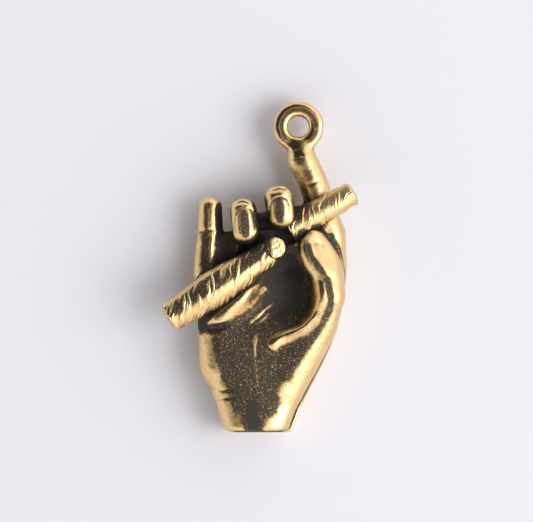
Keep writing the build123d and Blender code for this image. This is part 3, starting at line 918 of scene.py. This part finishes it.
@dataclass
class PatinaAndPaintedLight:
    """Where a polishing wheel couldn't reach the charm, so that the patina stayed, with bands of painted
    shade and painted highlight laid into the same mask.
    """

    clay: Clay
    uncut: Clay
    extra: list[Form]
    low: Point = (-12.8, -26.8, -3.2)
    high: Point = (6.4, 3.0, 5.0)
    metal_step: float = 0.12
    fillet: float = 0.05
    step: float = 0.24
    band: int = 14
    room: float = 4.0
    wheel: float = 1.5
    brush: float = 0.9
    pool: float = 0.75
    pool_depth: Flat = (0.25, 0.9)
    flat_swell: Flat = (0.027, 0.082)
    swell_reach: int = 8
    crease: float = 0.089
    crease_reach: int = 2
    bare_edge: Flat = (0.35, 0.6)
    bleed: int = 18

    def __post_init__(self) -> None:
        """Measures how hollow the hand is and how far places are from the whole charm's metal."""
        clay = self.clay
        self.soft = blurred(clay.field, self.crease_reach) - clay.field
        self.swell = blurred(clay.field, self.swell_reach) - clay.field
        near = Clay(self.low, self.high, self.metal_step)
        shape = near.field.shape
        places = np.stack([np.broadcast_to(c, shape).ravel() for c in near.everywhere()], axis=1)
        top = clay.low + clay.step * (np.array(clay.field.shape) - 1)
        inside = np.all((places > clay.low) & (places < top), 1)
        metal = np.full(len(places), FAR)
        metal[inside] = clay.sample(places[inside])
        near.field[:] = metal.reshape(shape)
        for form in self.extra:
            near.work(Touch(form, self.fillet))
        points, quads = surface(near.field, near.step)
        level = openvdb.FloatGrid.createLevelSetFromPolygons(
            (points + self.room).astype(np.float32), quads=quads, halfWidth=float(self.band),
            transform=openvdb.createLinearTransform(voxelSize=self.step))
        reach = np.ceil((np.array(shape) * near.step + 2 * self.room) / self.step).astype(int)
        self.far = np.full(reach, self.band * self.step, np.float32)
        level.copyToArray(self.far)

    def blocked(self, places: Array, normals: Array, radius: float) -> Array:
        """Measures how far a round tool that touches each place would have to sink into the metal.

        Args:
            places: Places in millimetres, one row each.
            normals: The surface's direction at each place.
            radius: The tool's radius.

        Returns:
            From 0 where the tool fits to 1 where it doesn't.
        """
        middle = places + radius * normals
        room = read_between(self.far, (middle - self.low + self.room) / self.step)
        return np.clip(1 - room / radius, 0, 1)

    def store(self, mesh: bpy.types.Mesh, normals: Array, skin: Array, own_shade_and_patina: Array | None = None,
              flat: float = 0.0, shade: float = 1.0, shade_and_patina_bands: tuple[PaintedBand, ...] = (),
              painted_highlights: tuple[PaintedBand, ...] = ()) -> None:
        """Writes each point's patina, with its painted shade and painted highlights, and how hollow it is,
        as attributes.

        Args:
            mesh: The mesh, in metres.
            normals: The surface's direction at each point.
            skin: Which points lie on the charm's outside.
            own_shade_and_patina: One number for each point in place of the hand's hollows: a cigar's haze
                and painted shade less its worn leaf, and the filler's painted shade.
            flat: How much patina stays on flat ground.
            shade: How much patina stays where the tools don't reach.
            shade_and_patina_bands: Bands painted darker, as painted shade and as patina.
            painted_highlights: Bands painted lighter, as painted highlights.
        """
        places = coordinates(mesh)
        patina_and_painted_light = shade * np.maximum(self.blocked(places, normals, self.wheel),
                                  self.blocked(places, normals, self.brush))
        # Darker bands: painted shade, and patina
        for darkening in shade_and_patina_bands:
            patina_and_painted_light = np.maximum(patina_and_painted_light, darkening.at(places))
        if own_shade_and_patina is None:
            patina_and_painted_light = np.maximum(patina_and_painted_light, self.pool * ease(-self.uncut.sample(places), *self.pool_depth))
            swell = self.clay.sample(places, self.swell)
            patina_and_painted_light = np.maximum(patina_and_painted_light, flat * (1 - ease(swell, *self.flat_swell)))
        patina_and_painted_light = spread(mesh, patina_and_painted_light, skin, self.bleed)
        # Painted highlights: these bands clear the patina to bright gold
        for highlight_band in painted_highlights:
            patina_and_painted_light = patina_and_painted_light * (1 - highlight_band.at(places))
        # For the cigars and the filler the hollow attribute carries their painted shade
        hollow = -self.clay.sample(places, self.soft) / self.crease if own_shade_and_patina is None else own_shade_and_patina
        hollow = np.where(hollow < 0, hollow * (1 - ease(patina_and_painted_light, *self.bare_edge)), hollow)
        for name, values in (("patina_shade_map", patina_and_painted_light), ("hollow", hollow)):
            kept = mesh.attributes.new(name, "FLOAT", "POINT")
            kept.data.foreach_set("value", values.astype(np.float32))


def rows_of(elements: bpy.types.bpy_prop_collection, name: str) -> Array:
    """Returns one of the vectors of a mesh's elements, one row each."""
    rows = np.zeros(len(elements) * 3, np.float32)
    elements.foreach_get(name, rows)
    return rows.reshape(-1, 3)


def coordinates(mesh: bpy.types.Mesh) -> Array:
    """Returns a mesh's points in millimetres, one row each."""
    return rows_of(mesh.vertices, "co") / MM


def spread(mesh: bpy.types.Mesh, values: Array, skin: Array, rounds: int) -> Array:
    """Evens numbers out over a mesh, from point to point along its edges.

    Args:
        mesh: The mesh.
        values: One number for each point.
        skin: Which points take part.
        rounds: How often each point takes the mean of its neighbours.

    Returns:
        The evened numbers.
    """
    ends = np.zeros(len(mesh.edges) * 2, np.int32)
    mesh.edges.foreach_get("vertices", ends)
    here = np.concatenate([ends[::2], ends[1::2]])
    there = np.concatenate([ends[1::2], ends[::2]])
    count = len(values)
    weight = skin.astype(float)
    total = values * weight
    share = np.maximum(np.bincount(here, minlength=count), 1)
    for _ in range(rounds):
        total = (total + np.bincount(here, total[there], count) / share) / 2
        weight = (weight + np.bincount(here, weight[there], count) / share) / 2
    return np.where(skin, total / np.maximum(weight, TINY), values)


def point_normals(mesh: bpy.types.Mesh) -> Array:
    """Returns a mesh's own directions at its points, one row each."""
    return rows_of(mesh.vertex_normals, "vector")


def dress(piece: bpy.types.Object, node: str) -> None:
    """Fixes a finished piece to the frame in place of a node.

    Args:
        piece: The piece.
        node: The node that it stands for.
    """
    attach(piece, "root")
    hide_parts(node)
    LOG.info("%s stands for %s with %d faces", piece.name, node, len(piece.data.polygons))


# The cigars


def open_tree(name: str, sizes: tuple[str, ...]) -> tuple[bpy.types.NodeTree, bpy.types.bpy_prop_collection]:
    """Starts a geometry tree with an input for each size and one for the finish.

    Args:
        name: The tree's name.
        sizes: The names of the sizes.

    Returns:
        The tree, and the sockets that give its inputs.
    """
    tree = bpy.data.node_groups.new(name, "GeometryNodeTree")
    for size in sizes:
        tree.interface.new_socket(size, in_out="INPUT", socket_type="NodeSocketFloat")
    tree.interface.new_socket("finish", in_out="INPUT", socket_type="NodeSocketMaterial")
    tree.interface.new_socket("shape", in_out="OUTPUT", socket_type="NodeSocketGeometry")
    return tree, add_node(tree, "NodeGroupInput").outputs


def close_tree(tree: bpy.types.NodeTree, shape: bpy.types.Node, finish: bpy.types.NodeSocket) -> None:
    """Ends a geometry tree with plain geometry that has its finish.

    Args:
        tree: The tree.
        shape: The node that gives the shape.
        finish: The socket that gives the finish.
    """
    real = add_node(tree, "GeometryNodeRealizeInstances", (shape,))
    done = add_node(tree, "GeometryNodeSetMaterial", {"Geometry": real, "Material": finish})
    add_node(tree, "NodeGroupOutput", (done,))


def plain_mesh(tree: bpy.types.NodeTree, owner: object, finish: bpy.types.Material) -> bpy.types.Mesh:
    """Runs a geometry tree and keeps its result as a plain mesh.

    Args:
        tree: The geometry tree.
        owner: The object whose fields give the tree's sizes.
        finish: The material for the tree.

    Returns:
        The mesh, in the tree's own units.
    """
    carrier = put(tree.name, bpy.data.meshes.new(tree.name))
    modifier = carrier.modifiers.new(tree.name, "NODES")
    modifier.node_group = tree
    for socket in tree.interface.items_tree:
        if socket.in_out == "INPUT":
            modifier[socket.identifier] = finish if socket.name == "finish" else getattr(owner, socket.name)
    graph = bpy.context.evaluated_depsgraph_get()
    mesh = bpy.data.meshes.new_from_object(carrier.evaluated_get(graph))
    carrier.modifiers.remove(modifier)
    bpy.data.objects.remove(carrier)
    return mesh


@dataclass
class Cigar:
    """A rolled cigar: a spindle with short raised strokes where the leaf's edges and veins wind round it."""

    node: str
    left_end: Point
    angle: float
    length: float
    tail_radius: float
    belly_radius: float
    head_radius: float
    belly_place: float
    # Painted shade: how dark the side that faces up and left is painted, where the gold mirrors the dark
    # overhead
    patina_and_shade: float = 0.24
    stroke_pitch: float = 0.36
    stroke_length: float = 2.7
    stroke_slant: float = 0.65
    stroke_edge: Flat = (0.36, 0.08)
    leaf_relief: float = 0.085
    strand_relief: float = 0.05
    strand_scale: float = 1.6
    strand_detail: float = 1.5
    sunk_strands: float = 0.6
    sway: float = 1.5
    sway_scale: float = 0.6
    sway_detail: float = 2.0
    patch_scale: float = 0.9
    patch_detail: float = 1.0
    patch_range: Flat = (0.35, 0.55)
    least_leaf: float = 0.35
    plain_underside: Flat = (0.48, 0.42)
    end_dome: float = 0.3
    end_squareness: float = 0.6
    haze: float = 0.1
    # The painted shade's facing and its soft edge
    shaded_side: Point = (-0.2, 0.31, 0.93)
    shaded_edge: Flat = (0.82, 0.95)
    wear: float = 0.45
    rings: int = 300
    sectors: int = 128
    cap_share: float = 0.06
    weld: float = 1e-4
    form_inset: Flat = (0.6, 0.1)

    def form(self) -> Digit:
        """Returns the cigar's plain form for the patina."""
        run = np.array([math.cos(math.radians(self.angle)), math.sin(math.radians(self.angle)), 0.0])
        short, thin = self.form_inset
        marks = ((short, self.tail_radius), (self.belly_place, self.belly_radius),
                 (self.length - short, self.head_radius))
        return Digit(tuple((*(np.array(self.left_end) + run * at), radius - thin) for at, radius in marks))

    def tree(self) -> bpy.types.NodeTree:
        """Builds the geometry tree of a rolled cigar that lies along X.

        Returns:
            The tree.
        """
        tree, given = open_tree("rolled_cigar", (
            "length", "tail_radius", "belly_radius", "head_radius", "belly_place", "stroke_pitch",
            "stroke_length", "stroke_slant", "leaf_relief", "strand_relief", "end_dome"))
        add = partial(add_node, tree)
        quarter = math.pi / 2
        cap = self.cap_share

        # The spindle: a sheet whose X runs along the cigar and whose Y goes round it.
        sheet = add("GeometryNodeMeshGrid", (1.0, 1.0, self.rings, self.sectors))
        spot = add(PARTS, (add("GeometryNodeInputPosition"),)).outputs
        share = add(MATH, (spot["X"], 0.5), operation="ADD")
        turn = add(MATH, (spot["Y"], 4 * quarter, quarter), operation="MULTIPLY_ADD")
        tail = add(RANGE, (share, 0.0, cap, 0.0, quarter))
        head = add(RANGE, (share, 1.0, 1 - cap, 0.0, quarter))
        body = add(RANGE, (share, cap, 1 - cap))
        straight = add(MATH, (given["end_dome"], -2.0, given["length"]), operation="MULTIPLY_ADD")
        tail_dome = add(MATH, (tail,), operation="COSINE")
        head_dome = add(MATH, (head,), operation="COSINE")
        domes = add(MATH, (head_dome, tail_dome), operation="SUBTRACT")
        domes = add(MATH, (domes, given["end_dome"], given["end_dome"]), operation="MULTIPLY_ADD")
        along = add(MATH, (body, straight, domes), operation="MULTIPLY_ADD")
        swell = add(RANGE, (along, 0.0, given["belly_place"], given["tail_radius"], given["belly_radius"]),
                    interpolation_type="SMOOTHSTEP")
        narrow = add(RANGE, (along, given["belly_place"], given["length"], given["belly_radius"],
                             given["head_radius"]), interpolation_type="SMOOTHSTEP")
        radius = add(MATH, (swell, narrow), operation="MINIMUM")
        tail_cap = add(MATH, (tail,), operation="SINE")
        head_cap = add(MATH, (head,), operation="SINE")
        caps = add(MATH, (tail_cap, head_cap), operation="MULTIPLY")
        caps = add(MATH, (caps, self.end_squareness), operation="POWER")

        # The leaf: long cells that wind round the spindle, weaker in patches and gone underneath.
        cosine = add(MATH, (turn,), operation="COSINE")
        sine = add(MATH, (turn,), operation="SINE")
        place = add(XYZ, (along, cosine, sine))
        sway = add(NOISE, {"Vector": place, "Scale": self.sway_scale, "Detail": self.sway_detail})
        patch = add(NOISE, {"Vector": place, "Scale": self.patch_scale, "Detail": self.patch_detail})
        amount = add(RANGE, (patch, *self.patch_range, self.least_leaf))
        under = add(MATH, (spot["Y"],), operation="ABSOLUTE")
        shown = add(RANGE, (under, *self.plain_underside))
        shown = add(MATH, (shown, caps), operation="MULTIPLY")
        round_way = add(MATH, (turn, given["belly_radius"]), operation="MULTIPLY")
        wind = add(MATH, (round_way, given["stroke_slant"], along), operation="MULTIPLY_ADD")
        wind = add(MATH, (sway, self.sway, wind), operation="MULTIPLY_ADD")
        wind = add(MATH, (wind, given["stroke_pitch"]), operation="DIVIDE")
        run = add(MATH, (round_way, given["stroke_length"]), operation="DIVIDE")
        leafwise = add(XYZ, (wind, run))
        cells = add("ShaderNodeTexVoronoi", {"Vector": leafwise, "Scale": 1.0}, voronoi_dimensions="2D")
        stroke = add(RANGE, (cells, *self.stroke_edge), interpolation_type="SMOOTHSTEP")
        leaf = add(MATH, (stroke, amount), operation="MULTIPLY")
        leaf = add(MATH, (leaf, shown), operation="MULTIPLY")
        strand = add(NOISE, {"Vector": leafwise, "Scale": self.strand_scale, "Detail": self.strand_detail})
        strand = add(MATH, (strand, self.sunk_strands), operation="SUBTRACT")
        strand = add(MATH, (strand, shown), operation="MULTIPLY")
        girth = add(MATH, (leaf, given["leaf_relief"], radius), operation="MULTIPLY_ADD")
        girth = add(MATH, (strand, given["strand_relief"], girth), operation="MULTIPLY_ADD")
        girth = add(MATH, (girth, caps), operation="MULTIPLY")
        sideways = add(MATH, (cosine, girth), operation="MULTIPLY")
        upward = add(MATH, (sine, girth), operation="MULTIPLY")
        shaped = add(XYZ, (along, sideways, upward))
        tagged = add("GeometryNodeStoreNamedAttribute", {"Geometry": sheet, "Name": "leaf", "Value": leaf},
                     data_type="FLOAT", domain="POINT")
        rolled = add("GeometryNodeSetPosition", {"Geometry": tagged, "Position": shaped})
        closed = add("GeometryNodeMergeByDistance", {"Geometry": rolled, "Distance": self.weld})
        outward = add("GeometryNodeFlipFaces", {"Mesh": closed})
        close_tree(tree, outward, given["finish"])
        return tree

    def build(self, patina_shade_map: PatinaAndPaintedLight, material: bpy.types.Material) -> None:
        """Rolls the cigar, lays it in the hand and dresses it.

        Args:
            patina_shade_map: The patina, the painted shade and highlights, and how deep places lie.
            material: Its finish.
        """
        mesh = plain_mesh(self.tree(), self, material)
        lay = Matrix.Translation(Vector(self.left_end)) @ Matrix.Rotation(math.radians(self.angle), 4, "Z")
        mesh.transform(Matrix.Scale(MM, 4) @ lay)
        leaf = np.zeros(len(mesh.vertices), np.float32)
        mesh.attributes["leaf"].data.foreach_get("value", leaf)
        normals = point_normals(mesh)
        # Painted shade on the side that faces up and left, over an even haze of patina; the leaf's strokes
        # are worn bright
        haze_and_painted_shade = self.haze + self.patina_and_shade * ease(normals @ unit(self.shaded_side), *self.shaded_edge)
        patina_shade_map.store(mesh, normals, np.ones(len(leaf), bool), haze_and_painted_shade - self.wear * leaf)
        dress(new_piece(self.node + "_rolled", mesh, material), self.node)


@dataclass
class Filler:
    """The cut filler that shows at a cigar's head: a low dome of crumbs."""

    centre: Point = (-2.1, -10.32, 2.85)
    facing: Point = (0.25, 0.15, 0.95)
    radius: float = 0.96
    dome: float = 0.7
    crumb_relief: float = 0.1
    crumb_size: float = 0.34
    squareness: float = 5.0
    crumb_detail: float = 1.5
    sunk_crumbs: float = 0.6
    subdivisions: int = 6
    # Painted shade on the dome's left side: how dark, and over what reach
    dark: float = 0.7
    dark_side: Flat = (-0.1, 0.7)

    def tree(self) -> bpy.types.NodeTree:
        """Builds the geometry tree of the dome and its crumbs.

        Returns:
            The tree.
        """
        tree, given = open_tree("cut_filler", ("radius", "dome", "crumb_relief", "crumb_size"))
        add = partial(add_node, tree)
        ball = add("GeometryNodeMeshIcoSphere", {"Radius": 1.0, "Subdivisions": self.subdivisions})
        spot = add("GeometryNodeInputPosition")
        flat = add(VECTOR, (spot, (1.0, 1.0, 0.0)), operation="MULTIPLY")
        across = add(VECTOR, (flat,), operation="LENGTH").outputs["Value"]
        across = add(MATH, (across, self.squareness), operation="POWER")
        upward = add(MATH, (add(PARTS, (spot,)).outputs["Z"],), operation="ABSOLUTE")
        upward = add(MATH, (upward, self.squareness), operation="POWER")
        stretch = add(MATH, (across, upward), operation="ADD")
        stretch = add(MATH, (stretch, -1 / self.squareness), operation="POWER")
        plug = add(VECTOR, {0: spot, "Scale": stretch}, operation="SCALE")
        ball = add("GeometryNodeSetPosition", {"Geometry": ball, "Position": plug})
        size = add(XYZ, (given["radius"], given["radius"], given["dome"]))
        dome = add("GeometryNodeTransform", {"Geometry": ball, "Scale": size})
        scale = add(MATH, (1.0, given["crumb_size"]), operation="DIVIDE")
        crumbs = add(NOISE, {"Scale": scale, "Detail": self.crumb_detail})
        level = add(MATH, (crumbs, self.sunk_crumbs), operation="SUBTRACT")
        level = add(MATH, (level, given["crumb_relief"]), operation="MULTIPLY")
        offset = add(VECTOR, {0: add("GeometryNodeInputNormal"), "Scale": level}, operation="SCALE")
        heaped = add("GeometryNodeSetPosition", {"Geometry": dome, "Offset": offset})
        close_tree(tree, heaped, given["finish"])
        return tree

    def build(self, patina_shade_map: PatinaAndPaintedLight, material: bpy.types.Material) -> None:
        """Heaps the filler up at the cigar's head and dresses it.

        Args:
            patina_shade_map: The patina, the painted shade and highlights, and how deep places lie.
            material: Its finish.
        """
        mesh = plain_mesh(self.tree(), self, material)
        face = Vector(self.facing).to_track_quat("Z", "Y").to_matrix().to_4x4()
        mesh.transform(Matrix.Scale(MM, 4) @ Matrix.Translation(Vector(self.centre)) @ face)
        count = len(mesh.vertices)
        # Painted shade: the left side of the dome is darkened
        shade_weight = ease(self.centre[0] - coordinates(mesh)[:, 0], *self.dark_side)
        patina_shade_map.store(mesh, point_normals(mesh), np.ones(count, bool), self.dark * shade_weight)
        dress(new_piece("cigar_filler_crumbs", mesh, material), "cigar_filler")


# The stage


@dataclass(frozen=True)
class Studio:
    """A white table under a soft light from the right, seen from straight above."""

    centre: Flat = (-2.72, -11.39)
    frame_width: float = 45.3
    camera_height: float = 300.0
    sensor: float = 36.0
    clip: Flat = (10.0, 10000.0)
    # A matt painted board: it takes the charm's soft shadow and mirrors nothing.
    floor_colour: str = "EAE9EE"
    floor_roughness: float = 0.8
    floor_reach: float = 600.0
    floor_gap: float = 0.002
    key_place: Point = (420.0, -100.0, 420.0)
    key_size: float = 400.0
    key_power: float = 1.9
    tent_colour: str = "FDFCFF"
    left_wall: float = 0.95
    right_wall: float = 1.4
    opening: Point = (-0.4, 0.35, 0.85)
    opening_edge: Flat = (0.6, 0.84)
    opening_light: float = 0.03

    def build(self) -> None:
        """Makes the floor, the camera, the lamp and the world."""
        self.floor()
        self.camera()
        self.lamp()
        self.world()

    def floor(self) -> None:
        """Makes the table top."""
        mesh = bpy.data.meshes.new("table_top")
        corners = [(x * self.floor_reach * MM, y * self.floor_reach * MM, (REST_Z - self.floor_gap) * MM)
                   for x, y in ((-1, -1), (1, -1), (1, 1), (-1, 1))]
        mesh.from_pydata(corners, [], [(0, 1, 2, 3)])
        made = bpy.data.materials.new("white_table")
        made.use_nodes = True
        shader = made.node_tree.nodes["Principled BSDF"]
        shader.inputs["Base Color"].default_value = linear(self.floor_colour)
        shader.inputs["Roughness"].default_value = self.floor_roughness
        mesh.materials.append(made)
        put("table_top", mesh)

    def camera(self) -> None:
        """Hangs the camera over the middle of the picture."""
        data = bpy.data.cameras.new("camera")
        data.sensor_width = self.sensor
        data.lens = self.sensor * self.camera_height / self.frame_width
        data.clip_start, data.clip_end = (at * MM for at in self.clip)
        camera = put("camera", data)
        camera.location = Vector((*self.centre, self.camera_height)) * MM
        bpy.context.scene.camera = camera

    def lamp(self) -> None:
        """Hangs one square soft lamp that points at the charm."""
        data = bpy.data.lights.new("key", "AREA")
        data.size = self.key_size * MM
        data.energy = self.key_power
        lamp = put("key", data)
        lamp.location = Vector(self.key_place) * MM
        way = Vector((*self.centre, 0.0)) - Vector(self.key_place)
        lamp.rotation_euler = way.to_track_quat("-Z", "Y").to_euler()

    def world(self) -> None:
        """Makes a light tent: bright walls and a dark opening overhead."""
        world = bpy.data.worlds.new("light_tent")
        world.use_nodes = True
        world.node_tree.nodes.clear()
        add = partial(add_node, world.node_tree)
        place = add("ShaderNodeTexCoord").outputs["Generated"]
        overhead = add(VECTOR, (place, unit(self.opening)), operation="DOT_PRODUCT").outputs["Value"]
        level = add(RANGE, (overhead, *self.opening_edge, 1.0, self.opening_light),
                    interpolation_type="SMOOTHSTEP")
        side = add(RANGE, (add(PARTS, (place,)), -1.0, 1.0, self.left_wall, self.right_wall))
        level = add(MATH, (level, side), operation="MULTIPLY")
        glow = add("ShaderNodeBackground", {"Color": linear(self.tent_colour), "Strength": level})
        add("ShaderNodeOutputWorld", {"Surface": glow})
        bpy.context.scene.world = world
        bpy.context.scene.view_settings.view_transform = "Standard"


def main() -> None:
    """Builds the charm's pieces in order and sets up the studio."""
    logging.basicConfig(level=logging.INFO)
    finishes = {
        # Cast and tumbled: a satin gold sheen on the heights that fades to near black in the hollows, with
        # painted shade and painted highlights laid into its patina.
        Slot.HAND: AntiqueGold("cast_gold_hand"),
        # Cast from rolled leaf: the same satin gold, with dark threads between the leaf's strokes, and
        # painted shade on the cigars' side that faces up and left and on the filler's left side.
        Slot.LEAF: AntiqueGold("cast_gold_leaf"),
        # Polished by hand: a tighter, brighter shine with less grain.
        Slot.LOOP: AntiqueGold("polished_gold_loop", roughness=0.2, grain_depth_mm=0.05)}
    materials = {slot: finish.material() for slot, finish in finishes.items()}
    hand = Hand()
    clay, uncut = hand.sculpt()
    cigars = [Cigar("lower_cigar", left_end=(-11.033, -16.309, 2.4), angle=33.2, length=10.6,
                    tail_radius=1.225, belly_radius=1.555, head_radius=1.075, belly_place=4.6),
              Cigar("upper_cigar", left_end=(-0.959, -8.764, 1.8), angle=29.5, length=6.5,
                    tail_radius=1.15, belly_radius=1.16, head_radius=0.97, belly_place=2.0, patina_and_shade=0.11)]
    patina_shade_map = PatinaAndPaintedLight(clay, uncut, [cigar.form() for cigar in cigars])
    hand.build(clay, patina_shade_map, materials)
    for cigar in cigars:
        cigar.build(patina_shade_map, materials[Slot.LEAF])
    Filler().build(patina_shade_map, materials[Slot.LEAF])
    Studio().build()


if __name__ == "__main__":
    main()
